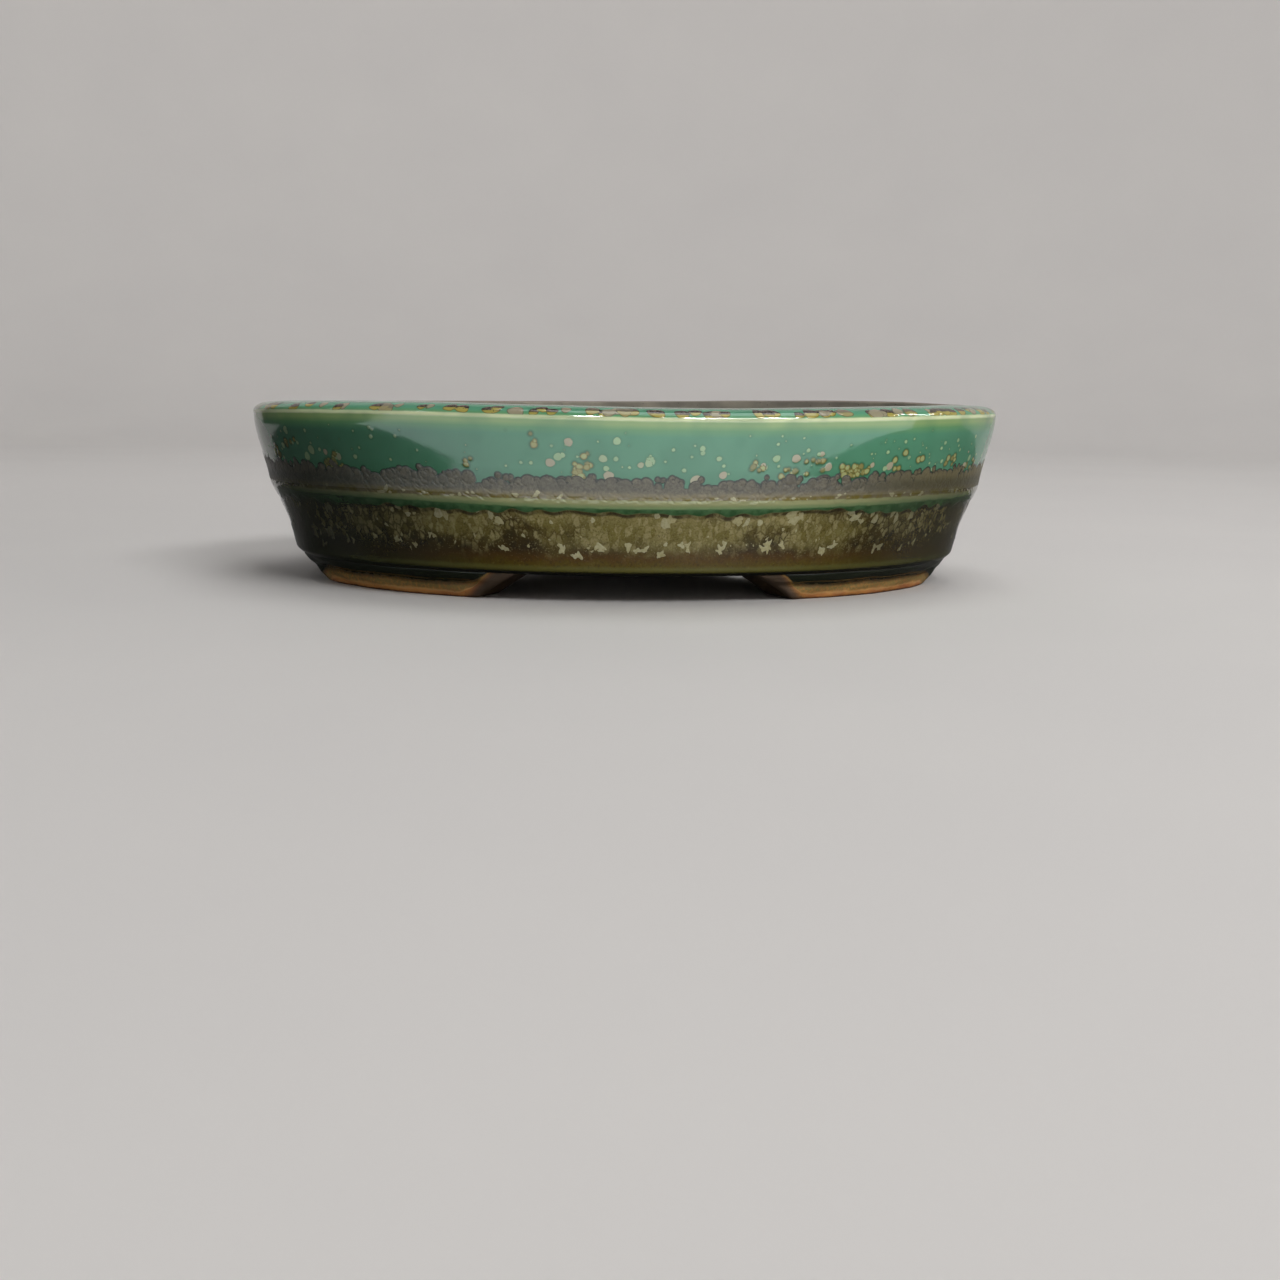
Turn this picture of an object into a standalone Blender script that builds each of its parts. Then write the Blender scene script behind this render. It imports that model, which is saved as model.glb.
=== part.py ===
"""Shallow oval bonsai pot on four bracket feet, as the potter's separately formed pieces of clay.

A floor slab with drain and wire holes, two wall bands with a moulding between them, a rim lip and
four feet. Each piece has its own outline, swept round the oval plan. Metres, +Z up. The origin is
on the surface that the feet stand on, under the middle of the pot. The long axis is X.
"""

import math

import bmesh
import bpy
from mathutils import Vector

MM = 0.001

# The oval at its widest, which is the outer edge of the rim.
HALF_LENGTH = 100.0 * MM
HALF_DEPTH = 76.0 * MM

# Heights of the joins between the pieces, from the table up.
UNDERSIDE = 6.8 * MM
FLOOR_TOP = 11.8 * MM
LOWER_WALL_TOP = 19.1 * MM
MOULDING_TOP = 27.0 * MM
UPPER_WALL_TOP = 41.5 * MM
LIP_LINE = 44.5 * MM
RIM_CREST = 47.2 * MM
JOIN_GAP = 0.3 * MM

# How far each join's outer and inner edge lies inside the widest oval.
RIM_WIDTH = 8.0 * MM
LIP_CURVE = (5.5 * MM, 2.55 * MM)
UPPER_WALL_INSETS = (0.3 * MM, 9.0 * MM)
MOULDING_INSETS = (3.8 * MM, 10.4 * MM)
LOWER_WALL_INSETS = (7.4 * MM, 12.8 * MM)
FLOOR_INSET = 16.6 * MM

# Drainage and tie-down holes in the floor.
DRAIN_RADIUS = 8.5 * MM
DRAIN_SPACING = 72.0 * MM
WIRE_HOLE_RADIUS = 2.2 * MM
WIRE_HOLE_PLACE = (48.0 * MM, 26.0 * MM)

# Each foot fills one quarter of the oval between these angles, and is longer at its top.
FOOT_START = math.radians(18.0)
FOOT_END = math.radians(64.0)
FOOT_END_SLOPE = math.radians(6.0)
FOOT_QUARTERS = {
    "foot_back_right": (1, 1),
    "foot_back_left": (-1, 1),
    "foot_front_left": (-1, -1),
    "foot_front_right": (1, -1),
}

STATIONS = 72
FOOT_STATIONS = 14
ARC_STEPS = 4
FLARE_STEPS = 7
LIP_STEPS = 6
HOLE_SIDES = 32
SMOOTH_BELOW = math.radians(40.0)

# Base colours as linear RGB.
TURQUOISE_GLAZE = (0.065, 0.30, 0.21)
RIM_GLAZE = (0.12, 0.36, 0.25)
MOULDING_GLAZE = (0.10, 0.09, 0.065)
OLIVE_GLAZE = (0.085, 0.08, 0.026)
DARK_CLAY = (0.085, 0.066, 0.05)
FOOT_CLAY = (0.36, 0.17, 0.065)


def clear_scene():
    for item in list(bpy.data.objects):
        bpy.data.objects.remove(item)


def ceramic(name, colour, roughness, coat):
    material = bpy.data.materials.new(name)
    material.use_nodes = True
    shader = material.node_tree.nodes["Principled BSDF"]
    shader.inputs["Base Color"].default_value = (*colour, 1.0)
    shader.inputs["Roughness"].default_value = roughness
    shader.inputs["Metallic"].default_value = 0.0
    shader.inputs["Coat Weight"].default_value = coat
    return material


def glazed(name, colour):
    return ceramic(name, colour, roughness=0.12, coat=0.5)


def bare(name, colour):
    return ceramic(name, colour, roughness=0.8, coat=0.0)


def rounded(corners):
    """A closed outline through corners of (inset, height, radius), with an arc at each radius."""
    outline = []
    for k, (inset, height, radius) in enumerate(corners):
        corner = Vector((inset, height))
        if radius == 0:
            outline.append(corner)
            continue
        back = (Vector(corners[k - 1][:2]) - corner).normalized()
        ahead = (Vector(corners[(k + 1) % len(corners)][:2]) - corner).normalized()
        half_angle = back.angle(ahead) / 2
        to_centre = (back + ahead).normalized() * radius / math.sin(half_angle)
        centre = corner + to_centre
        first = (back * radius / math.tan(half_angle) - to_centre).normalized()
        last = (ahead * radius / math.tan(half_angle) - to_centre).normalized()
        for step in range(ARC_STEPS + 1):
            outline.append(centre + radius * first.slerp(last, step / ARC_STEPS))
    return outline


def on_oval(inset, height, angle):
    across = (HALF_LENGTH - inset) * math.cos(angle)
    along = (HALF_DEPTH - inset) * math.sin(angle)
    return (across, along, height)


def finish(name, mesh, material):
    """An object from a bmesh, with its normals out and its round faces shaded smooth."""
    bmesh.ops.recalc_face_normals(mesh, faces=mesh.faces)
    if mesh.calc_volume(signed=True) < 0:
        bmesh.ops.reverse_faces(mesh, faces=mesh.faces)
    data = bpy.data.meshes.new(name)
    mesh.to_mesh(data)
    mesh.free()
    data.shade_smooth()
    data.set_sharp_from_angle(angle=SMOOTH_BELOW)
    data.materials.append(material)
    made = bpy.data.objects.new(name, data)
    bpy.context.scene.collection.objects.link(made)
    return made


def bridge(mesh, loop, next_loop):
    for k, corner in enumerate(loop):
        before = k - 1
        mesh.faces.new((loop[before], corner, next_loop[k], next_loop[before]))


def ring(name, outline, material):
    """An outline swept once round the oval."""
    mesh = bmesh.new()
    loops = []
    for station in range(STATIONS):
        angle = 2 * math.pi * station / STATIONS
        loops.append([mesh.verts.new(on_oval(p.x, p.y, angle)) for p in outline])
    for station, loop in enumerate(loops):
        bridge(mesh, loops[station - 1], loop)
    return finish(name, mesh, material)


def lip_curve():
    """The quarter ellipse from the pot's widest line up over the rounded top of the lip."""
    across, rise = LIP_CURVE
    turns = [math.pi / 2 * step / LIP_STEPS for step in range(LIP_STEPS + 1)]
    return [(across * (1 - math.cos(t)), LIP_LINE + rise * math.sin(t), 0) for t in turns]


def rim_lip():
    """The thick lip: its top is nearly flat, and rounds over to the pot's widest line."""
    bottom = UPPER_WALL_TOP + JOIN_GAP
    outline = rounded(
        [
            (0.28 * MM, bottom, 0),
            *lip_curve(),
            (RIM_WIDTH, RIM_CREST, 0.7 * MM),
            (UPPER_WALL_INSETS[1], bottom, 0),
        ]
    )
    return ring("rim_lip", outline, glazed("rim_glaze", RIM_GLAZE))


def flare(share):
    """How much of the flare is done this far down: straight, eased at both ends."""
    eased = share * share * (3 - 2 * share)
    return 0.6 * share + 0.4 * eased


def upper_wall():
    """The tall band that flares up to the rim."""
    bottom = MOULDING_TOP + JOIN_GAP
    top_inset, top_inner = UPPER_WALL_INSETS
    bottom_inset, bottom_inner = MOULDING_INSETS
    outline = [Vector((top_inner, UPPER_WALL_TOP)), Vector((bottom_inner, bottom))]
    for step in range(FLARE_STEPS + 1):
        up = 1 - step / FLARE_STEPS
        inset = top_inset + (bottom_inset - top_inset) * flare(up)
        outline.append(Vector((inset, UPPER_WALL_TOP + (bottom - UPPER_WALL_TOP) * up)))
    return ring("upper_wall", outline, glazed("turquoise_glaze", TURQUOISE_GLAZE))


def waist_moulding():
    """The band with the projecting edge round the waist, hollowed below that edge."""
    bottom = LOWER_WALL_TOP + JOIN_GAP
    outline = rounded(
        [
            (LOWER_WALL_INSETS[0] - 0.15 * MM, bottom, 0),
            (6.1 * MM, 21.6 * MM, 5.0 * MM),
            (4.4 * MM, 24.5 * MM, 0.9 * MM),
            (MOULDING_INSETS[0], MOULDING_TOP, 0),
            (MOULDING_INSETS[1], MOULDING_TOP, 0),
            (LOWER_WALL_INSETS[1], bottom, 0),
        ]
    )
    return ring("waist_moulding", outline, glazed("moulding_glaze", MOULDING_GLAZE))


def lower_wall():
    """The steep band under the moulding. The floor slab fits inside its foot."""
    outline = rounded(
        [
            (FLOOR_INSET, FLOOR_TOP, 0),
            (FLOOR_INSET, UNDERSIDE, 0),
            (11.5 * MM, UNDERSIDE, 0),
            (10.5 * MM, 7.9 * MM, 0.9 * MM),
            (8.7 * MM, 15.4 * MM, 9.0 * MM),
            (LOWER_WALL_INSETS[0], LOWER_WALL_TOP, 0),
            (LOWER_WALL_INSETS[1], LOWER_WALL_TOP, 0),
        ]
    )
    return ring("lower_wall", outline, glazed("olive_glaze", OLIVE_GLAZE))


def hole_cutter(name, radius, place):
    """A guide cylinder, longer than the floor is thick, that a Boolean takes away."""
    height = 3 * (FLOOR_TOP - UNDERSIDE)
    mesh = bmesh.new()
    bmesh.ops.create_cone(
        mesh,
        cap_ends=True,
        segments=HOLE_SIDES,
        radius1=radius,
        radius2=radius,
        depth=height,
    )
    data = bpy.data.meshes.new(name)
    mesh.to_mesh(data)
    mesh.free()
    cutter = bpy.data.objects.new(name, data)
    cutter.location = (*place, (FLOOR_TOP + UNDERSIDE) / 2)
    cutter.hide_render = True
    cutter.display_type = "WIRE"
    bpy.context.scene.collection.objects.link(cutter)
    return cutter


def cut(target, cutter):
    modifier = target.modifiers.new(cutter.name, "BOOLEAN")
    modifier.operation = "DIFFERENCE"
    modifier.object = cutter


def floor_slab():
    """The flat floor, with two large drain holes and four holes for the tie-down wires."""
    inset = FLOOR_INSET + JOIN_GAP
    mesh = bmesh.new()
    rims = []
    for height in (UNDERSIDE, FLOOR_TOP):
        angles = [2 * math.pi * station / STATIONS for station in range(STATIONS)]
        rims.append([mesh.verts.new(on_oval(inset, height, angle)) for angle in angles])
        mesh.faces.new(rims[-1])
    bridge(mesh, *rims)
    slab = finish("floor_slab", mesh, bare("dark_clay", DARK_CLAY))
    for side in (-1, 1):
        place = (side * DRAIN_SPACING / 2, 0)
        cut(slab, hole_cutter(f"drain_cutter_{side}", DRAIN_RADIUS, place))
        for front in (-1, 1):
            place = (side * WIRE_HOLE_PLACE[0], front * WIRE_HOLE_PLACE[1])
            cut(slab, hole_cutter(f"wire_cutter_{side}_{front}", WIRE_HOLE_RADIUS, place))
    return slab


def foot(name, side, front, material):
    """One bracket foot: a hollowed neck under the wall, then a face with a soft bottom edge."""
    top = UNDERSIDE - JOIN_GAP
    outline = rounded(
        [
            (11.8 * MM, top, 0),
            (13.2 * MM, 5.0 * MM, 2.6 * MM),
            (15.2 * MM, 4.2 * MM, 0.4 * MM),
            (16.4 * MM, 0.0, 1.0 * MM),
            (27.5 * MM, 0.0, 0.8 * MM),
            (29.0 * MM, top, 0),
        ]
    )
    mesh = bmesh.new()
    loops = []
    for station in range(FOOT_STATIONS + 1):
        share = station / FOOT_STATIONS
        loop = []
        for point in outline:
            widening = FOOT_END_SLOPE * point.y / top
            start = FOOT_START - widening
            angle = start + (FOOT_END + widening - start) * share
            across, along, height = on_oval(point.x, point.y, angle)
            loop.append(mesh.verts.new((side * across, front * along, height)))
        loops.append(loop)
    for loop, next_loop in zip(loops, loops[1:]):
        bridge(mesh, loop, next_loop)
    mesh.faces.new(loops[0])
    mesh.faces.new(loops[-1])
    return finish(name, mesh, material)


def feet():
    clay = bare("foot_clay", FOOT_CLAY)
    for name, (side, front) in FOOT_QUARTERS.items():
        foot(name, side, front, clay)


clear_scene()
rim_lip()
upper_wall()
waist_moulding()
lower_wall()
floor_slab()
feet()
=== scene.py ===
"""Looks of an oval glazed bonsai pot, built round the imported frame. Metres, +Z up, front to -Y."""

import math

import bpy
import numpy as np
from mathutils import Matrix, Vector


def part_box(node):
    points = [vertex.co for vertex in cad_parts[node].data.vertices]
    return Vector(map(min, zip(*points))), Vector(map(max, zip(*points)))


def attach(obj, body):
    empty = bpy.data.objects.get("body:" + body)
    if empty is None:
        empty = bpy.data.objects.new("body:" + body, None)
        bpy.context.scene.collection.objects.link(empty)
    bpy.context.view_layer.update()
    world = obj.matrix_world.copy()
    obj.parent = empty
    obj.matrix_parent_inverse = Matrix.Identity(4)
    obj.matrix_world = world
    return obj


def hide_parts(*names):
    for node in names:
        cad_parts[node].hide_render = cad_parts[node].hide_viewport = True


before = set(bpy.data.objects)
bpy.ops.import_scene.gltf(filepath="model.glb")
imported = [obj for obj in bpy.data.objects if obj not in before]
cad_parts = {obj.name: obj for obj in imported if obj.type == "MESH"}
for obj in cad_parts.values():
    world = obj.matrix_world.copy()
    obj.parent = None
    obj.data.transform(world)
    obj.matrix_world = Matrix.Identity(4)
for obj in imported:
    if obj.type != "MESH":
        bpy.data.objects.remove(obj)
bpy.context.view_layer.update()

MM = 0.001
SEED = 20
rng = np.random.default_rng(SEED)

# Sizes that come from the frame, in millimetres.
rim_low, rim_high = (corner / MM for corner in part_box("rim_lip"))
wall_low, wall_high = (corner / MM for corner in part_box("upper_wall"))
waist_low, waist_high = (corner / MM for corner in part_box("waist_moulding"))
lower_low, lower_high = (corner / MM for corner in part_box("lower_wall"))
slab_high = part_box("floor_slab")[1] / MM
foot_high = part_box("foot_back_right")[1] / MM

HALF_LENGTH = rim_high.x
HALF_DEPTH = rim_high.y
JOIN_HEIGHTS = (
    (wall_high.z + rim_low.z) / 2,
    (waist_high.z + wall_low.z) / 2,
    (lower_high.z + waist_low.z) / 2,
)
RIM_CREST = rim_high.z
UNDERSIDE = lower_low.z
FLOOR_TOP = slab_high.z
SLAB_INSET = HALF_LENGTH - slab_high.x

# The grid that the glazed body is made of: stations round the pot, and rows down its outline.
STATIONS = 1792
FINE_ROW = 0.28
COARSE_ROW = 0.9
ARC_STEPS = 16
# The glaze rounds every edge off by about this much.
SOFTEN = 0.22


# ---------------------------------------------------------------- the body's outline


def rounded(corners):
    """An outline through corners of (inset, height, radius), with an arc at each radius."""
    outline = []
    for k, (inset, height, radius) in enumerate(corners):
        corner = Vector((inset, height))
        if radius == 0:
            outline.append(corner)
            continue
        back = (Vector(corners[k - 1][:2]) - corner).normalized()
        ahead = (Vector(corners[k + 1][:2]) - corner).normalized()
        half_angle = back.angle(ahead) / 2
        to_centre = (back + ahead).normalized() * radius / math.sin(half_angle)
        first = (back * radius / math.tan(half_angle) - to_centre).normalized()
        last = (ahead * radius / math.tan(half_angle) - to_centre).normalized()
        for step in range(ARC_STEPS + 1):
            turn = first.slerp(last, step / ARC_STEPS)
            outline.append(corner + to_centre + radius * turn)
    return np.array([tuple(point) for point in outline])


def lengths(path):
    """How far along the path each of its points is."""
    steps = np.linalg.norm(np.diff(path, axis=0), axis=1)
    return np.concatenate([[0.0], np.cumsum(steps)])


def resampled(path, spacing):
    """The same path with even steps."""
    run = lengths(path)
    count = int(np.ceil(run[-1] / spacing))
    even = np.linspace(0, run[-1], count + 1)
    return np.stack([np.interp(even, run, path[:, k]) for k in (0, 1)], axis=1)


FLARE_TOP = (0.28, JOIN_HEIGHTS[0])
FLARE_BOTTOM = (3.8, JOIN_HEIGHTS[1])
FLARE_STEPS = 24
FLARE_EASE = 0.4


def flare():
    """The upper wall from under the lip to the waist: straight, eased at both ends."""
    points = []
    for step in range(1, FLARE_STEPS):
        share = step / FLARE_STEPS
        eased = (1 - FLARE_EASE) * share + FLARE_EASE * share * share * (3 - 2 * share)
        inset = FLARE_TOP[0] + (FLARE_BOTTOM[0] - FLARE_TOP[0]) * eased
        height = FLARE_TOP[1] + (FLARE_BOTTOM[1] - FLARE_TOP[1]) * share
        points.append((inset, height, 0))
    return points


# Corners of the outline as (inset from the oval's edge, height, radius).
INNER_CORNERS = [
    (SLAB_INSET + 1.6, FLOOR_TOP + 0.25, 0),
    (SLAB_INSET - 1.2, FLOOR_TOP + 1.2, 2.0),
    (12.8, JOIN_HEIGHTS[2], 6.0),
    (10.4, JOIN_HEIGHTS[1], 8.0),
    (9.0, JOIN_HEIGHTS[0], 12.0),
]
LIP_LINE = 44.5
LIP_CURVE = (5.5, 2.55)
LIP_STEPS = 12


def lip_curve():
    """The lip's rounded top, from near the crest out and down to its widest line."""
    across, rise = LIP_CURVE
    turns = [math.radians(90 * (1 - k / LIP_STEPS)) for k in range(LIP_STEPS + 1)]
    return [(across * (1 - math.cos(t)), LIP_LINE + rise * math.sin(t), 0) for t in turns]


RIM_CORNERS = [(8.0, RIM_CREST, 0.7)] + lip_curve()
OUTER_CORNERS = [
    (*FLARE_BOTTOM, 0),
    (4.45, 24.5, 0.8),
    (6.1, 21.6, 5.0),
    (8.6, 15.4, 9.0),
    (10.5, 8.0, 1.0),
    (11.9, UNDERSIDE, 0.5),
    (SLAB_INSET + 1.6, UNDERSIDE, 0),
]

outline = rounded(INNER_CORNERS + RIM_CORNERS + [(*FLARE_TOP, 0)] + flare() + OUTER_CORNERS)


def soften(path, spacing, width):
    """A path with the same ends, blurred along its length."""
    reach = int(3 * width / spacing)
    kernel = np.exp(-0.5 * (np.arange(-reach, reach + 1) * spacing / width) ** 2)
    kernel /= kernel.sum()
    padded = np.concatenate(
        [
            2 * path[:1] - path[reach:0:-1],
            path,
            2 * path[-1:] - path[-2 : -reach - 2 : -1],
        ]
    )
    return np.stack([np.convolve(padded[:, k], kernel, "valid") for k in (0, 1)], axis=1)


DENSE = 0.05
dense = soften(resampled(outline, DENSE), DENSE, SOFTEN)
dense_run = lengths(dense)
crest = int(np.argmax(dense[:, 1]))
widest = crest + int(np.argmin(np.abs(dense[crest:, 1] - LIP_LINE)))
dense_run -= dense_run[widest]
# The outline's last points run level under the wall, where a height doesn't say how far it is.
LEVEL_POINTS = int(2 / DENSE)


def crossing(height, outer):
    """How far along the outline it passes this height, outside or inside the wall."""
    if outer:
        part = slice(crest, -LEVEL_POINTS)
        return float(np.interp(-height, -dense[part, 1], dense_run[part]))
    return float(np.interp(height, dense[:crest, 1], dense_run[:crest]))


def run_at(height):
    """How far below the lip's widest line a height on the outside is, along the outline."""
    return crossing(height, True)


# Each of these marks has a row of the grid: the joins, just inside the crest, past the wall's foot.
BEFORE_CREST = 1.2
WALL_FOOT = run_at(UNDERSIDE + 0.4)
PAST_FOOT = 1.5
marks = [dense_run[0]]
marks += [crossing(height, False) for height in reversed(JOIN_HEIGHTS)]
marks += [dense_run[crest] - BEFORE_CREST]
marks += [crossing(height, True) for height in JOIN_HEIGHTS]
marks += [WALL_FOOT + PAST_FOOT, dense_run[-1]]
spacings = [COARSE_ROW] * 4 + [FINE_ROW] * 4 + [COARSE_ROW]
row_runs = [np.array([marks[0]])]
mark_rows = [0]
for start, end, spacing in zip(marks, marks[1:], spacings):
    count = int(np.ceil((end - start) / spacing))
    row_runs.append(np.linspace(start, end, count + 1)[1:])
    mark_rows.append(mark_rows[-1] + count)
run = np.concatenate(row_runs)
inset = np.interp(run, dense_run, dense[:, 0])
height = np.interp(run, dense_run, dense[:, 1])
ROWS = len(run)
# The rows of the joins: up the inside from the floor, over the lip, and down the outside.
in_floor, in_low, in_waist, in_lip, _, out_lip, out_waist, out_low, _, out_end = mark_rows

# Places round the pot are measured along this oval, which is about that of the waist.
GIRTH_INSET = 4
theta = 2 * np.pi * np.arange(STATIONS) / STATIONS
oval_x = (HALF_LENGTH - GIRTH_INSET) * np.cos(theta)
oval_y = (HALF_DEPTH - GIRTH_INSET) * np.sin(theta)
around_steps = np.hypot(np.diff(oval_x, append=oval_x[:1]), np.diff(oval_y, append=oval_y[:1]))
around = np.concatenate([[0.0], np.cumsum(around_steps)])
GIRTH = around[-1]
around = around[:-1]


def waver(turn_range, waves_down, terms):
    """A smooth seeded field over the grid, about -1 to 1, that closes round the pot."""
    field = np.zeros((ROWS, STATIONS))
    for _ in range(terms):
        turns = rng.integers(turn_range[0], turn_range[1] + 1)
        down = 2 * np.pi / rng.uniform(*waves_down) * rng.choice((-1, 1))
        phase = down * run + rng.uniform(0, 2 * np.pi)
        field += np.outer(np.cos(phase), np.cos(turns * theta))
        field -= np.outer(np.sin(phase), np.sin(turns * theta))
    return field / math.sqrt(2 * terms)


def ring_noise(turn_range, terms):
    """A smooth seeded value for each station."""
    field = np.zeros(STATIONS)
    for _ in range(terms):
        turns = rng.integers(turn_range[0], turn_range[1] + 1)
        field += np.cos(turns * theta + rng.uniform(0, 2 * np.pi))
    return field / math.sqrt(2 * terms)


def ease(value, start, end):
    """0 up to start, 1 from end, eased in between."""
    share = np.clip((value - start) / (end - start), 0, 1)
    return share * share * (3 - 2 * share)


# ---------------------------------------------------------------- marks in the glaze

around_thrice = np.concatenate([around - GIRTH, around, around + GIRTH])
FAR_OUTSIDE = -9.0
# A mark changes the grid as far out as this times its size, and this much more.
REACH = 1.7
REACH_MORE = 1.0


class Blots:
    """Marks stamped on the grid: how deep inside a mark each point is, and the mark's facts."""

    def __init__(self, facts):
        self.depth = np.full((ROWS, STATIONS), FAR_OUTSIDE)
        self.facts = np.zeros((facts, ROWS, STATIONS))

    def stamp(self, s, v, size, facts, covers=False, sides=0, thin=1.0, lean=0.0, rough=0.0):
        """One mark at s round the pot and v down the outline. covers: it hides older marks."""
        reach = size * REACH + REACH_MORE
        rows = np.arange(np.searchsorted(run, v - reach), np.searchsorted(run, v + reach))
        start, end = np.searchsorted(around_thrice, (s - reach, s + reach))
        columns = np.arange(start, end)
        ds = around_thrice[columns][None, :] - s
        dv = run[rows][:, None] - v
        across = ds * math.cos(lean) + dv * math.sin(lean)
        along = dv * math.cos(lean) - ds * math.sin(lean)
        distance = np.hypot(across / thin, along)
        angle = np.arctan2(along, across / thin)
        edge = np.full_like(distance, size)
        if sides:
            wedge = 2 * np.pi / sides
            edge *= math.cos(wedge / 2) / np.cos((angle + lean * 3) % wedge - wedge / 2)
        if rough:
            edge *= 1 + rough * np.cos(2 * angle + s) + rough * np.cos(3 * angle + 2 * s)
            edge *= 1 + 0.5 * rough * np.cos(5 * angle + 3 * s)
        depth = edge - distance
        spot = np.ix_(rows, columns % STATIONS)
        old = self.depth[spot]
        wins = (depth > 0) | (depth > old) if covers else depth > old
        self.depth[spot] = np.where(wins, depth, old)
        for k, fact in enumerate(facts):
            value = fact(ds, dv, depth) if callable(fact) else fact
            self.facts[(k, *spot)] = np.where(wins, value, self.facts[(k, *spot)])


DOT_HEIGHTS = (42.0, 31.0)
LONE_DOTS = 330
DOT_CLUSTERS = 112


def scatter_dots():
    """Round crystals in the upper wall's glaze: small loners, and clusters low on the wall."""
    dots = Blots(2)
    top, bottom = (run_at(height) for height in DOT_HEIGHTS)

    def dot(s, v, size, tone, ring):
        dots.stamp(s, v, size, [tone, ring], covers=True, rough=0.04)

    for _ in range(LONE_DOTS):
        s = rng.uniform(0, GIRTH)
        v = top + (bottom - top) * rng.beta(2.0, 1.7)
        dot(s, v, 0.18 + 0.55 * rng.beta(1.3, 2.0), rng.uniform(0.1, 0.55), 0.0)
    for _ in range(DOT_CLUSTERS):
        s = rng.uniform(0, GIRTH)
        v = top + (bottom - top) * rng.beta(3.6, 1.2)
        ringed = rng.random() < 0.6
        for _ in range(rng.integers(2, 10) if ringed else rng.integers(1, 4)):
            near_s, near_v = rng.normal(0, 1.7), rng.normal(0, 1.1)
            size = rng.uniform(0.5, 0.95) if ringed else rng.uniform(0.4, 1.35)
            dot(s + near_s, v + near_v, size, rng.uniform(0, 1), 1.0 if ringed else 0.0)
    return dots


BAND_TOP = 30.0
BAND_RISE = 1.9
BAND_BOTTOM = 26.6
# Rows of lobes, as (how far below the band's top, spacing round the pot).
LOBE_ROWS = ((3.6, 1.3), (2.6, 1.5), (1.6, 1.8), (0.7, 2.4), (0.0, 3.4))
LOOSE_LOBES = 105


def band_edge():
    """How high the crystalline band reaches at each station: more at the pot's two ends."""
    edge = BAND_TOP + BAND_RISE * np.cos(theta) ** 2
    return edge + 0.7 * ring_noise((3, 14), 10) + 0.4 * ring_noise((24, 60), 12)


def scatter_lobes(edge_height):
    """The crystalline band: round lobes crowded along its top, and loose ones just above it."""
    lobes = Blots(2)

    def up(ds, dv, depth):
        return -dv / (np.hypot(ds, dv) + 0.05)

    def lobe(s, height, size):
        lobes.stamp(s, run_at(height), size, [rng.uniform(0, 1), up], covers=True, rough=0.035)

    def edge_at(s):
        return edge_height[int(np.searchsorted(around, s % GIRTH)) % STATIONS]

    for level, spacing in LOBE_ROWS:
        count = int(GIRTH / spacing)
        for k in rng.permutation(count):
            s = GIRTH * (k + rng.uniform(0, 1)) / count
            size = float(np.clip(rng.lognormal(0.32, 0.34), 0.7, 2.5))
            height = edge_at(s) - level - size * rng.uniform(0.1, 0.9)
            lobe(s, max(BAND_BOTTOM, height), size)
    for _ in range(LOOSE_LOBES):
        s = rng.uniform(0, GIRTH)
        for _ in range(rng.integers(1, 4)):
            near = s + rng.normal(0, 1.1)
            lobe(near, edge_at(near) + rng.uniform(0.0, 1.2), rng.uniform(0.4, 0.9))
    return lobes


def scatter_spots():
    """Large round spots over the rim's edge, dark towards the inside and ochre towards the edge."""
    spots = Blots(2)

    def outward(ds, dv, depth):
        return dv

    s = 0.0
    while s < GIRTH:
        s += rng.gamma(2.2, 2.0) + 1.2
        for _ in range(rng.integers(1, 4)):
            near = s + rng.normal(0, 1.6)
            size = rng.uniform(0.9, 1.9)
            v = rng.uniform(-2.6, -1.3)
            facts = [rng.uniform(0, 1), outward]
            spots.stamp(near, v, size, facts, covers=True, thin=1.1, rough=0.07)
    return spots


POOL_FLAKES = 95
LOW_CLUSTERS = 80
SMALL_FLAKES = 150
WAIST_SCRAPS = 70
LOW_CLUSTER_HEIGHT = 13.8
SMALL_FLAKE_HEIGHTS = (13.5, 21.0)
WAIST_SCRAP_HEIGHT = 26.2


def scatter_flakes(pool_height):
    """Pale flakes: broad under the pool, clustered and small lower, and scraps on the waist."""
    flakes = Blots(1)

    def flake(s, height, size, tone, thin, rough=0.12):
        v = run_at(height)
        sides = rng.integers(4, 7)
        lean = rng.normal(0.0, 0.6)
        flakes.stamp(s, v, size, [tone], sides=sides, thin=thin, lean=lean, rough=rough)

    for _ in range(POOL_FLAKES):
        s = rng.uniform(0, GIRTH)
        station = int(np.searchsorted(around, s)) % STATIONS
        for _ in range(rng.integers(1, 3)):
            height = pool_height[station] - rng.uniform(0.3, 2.6)
            near, size = s + rng.normal(0, 1.2), rng.uniform(0.6, 1.7)
            flake(near, height, size, rng.uniform(0.3, 1.0), rng.uniform(0.5, 0.95))
    for _ in range(LOW_CLUSTERS):
        s, height = rng.uniform(0, GIRTH), rng.normal(LOW_CLUSTER_HEIGHT, 0.9)
        for _ in range(rng.integers(1, 4)):
            place = s + rng.normal(0, 0.9), height + rng.normal(0, 0.6)
            flake(*place, rng.uniform(0.5, 1.2), rng.uniform(0.5, 1), rng.uniform(0.4, 0.9), 0.3)
    for _ in range(SMALL_FLAKES):
        s, height = rng.uniform(0, GIRTH), rng.uniform(*SMALL_FLAKE_HEIGHTS)
        flake(s, height, rng.uniform(0.25, 0.7), rng.uniform(0.2, 1), rng.uniform(0.4, 0.9))
    for _ in range(WAIST_SCRAPS):
        s = rng.uniform(0, GIRTH)
        for _ in range(rng.integers(1, 4)):
            near, height = s + rng.normal(0, 1.3), rng.normal(WAIST_SCRAP_HEIGHT, 0.35)
            size, thin = rng.uniform(0.25, 0.6), rng.uniform(1, 2)
            flakes.stamp(near, run_at(height), size, [1.0], sides=5, thin=thin, rough=0.15)
    return flakes


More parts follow.
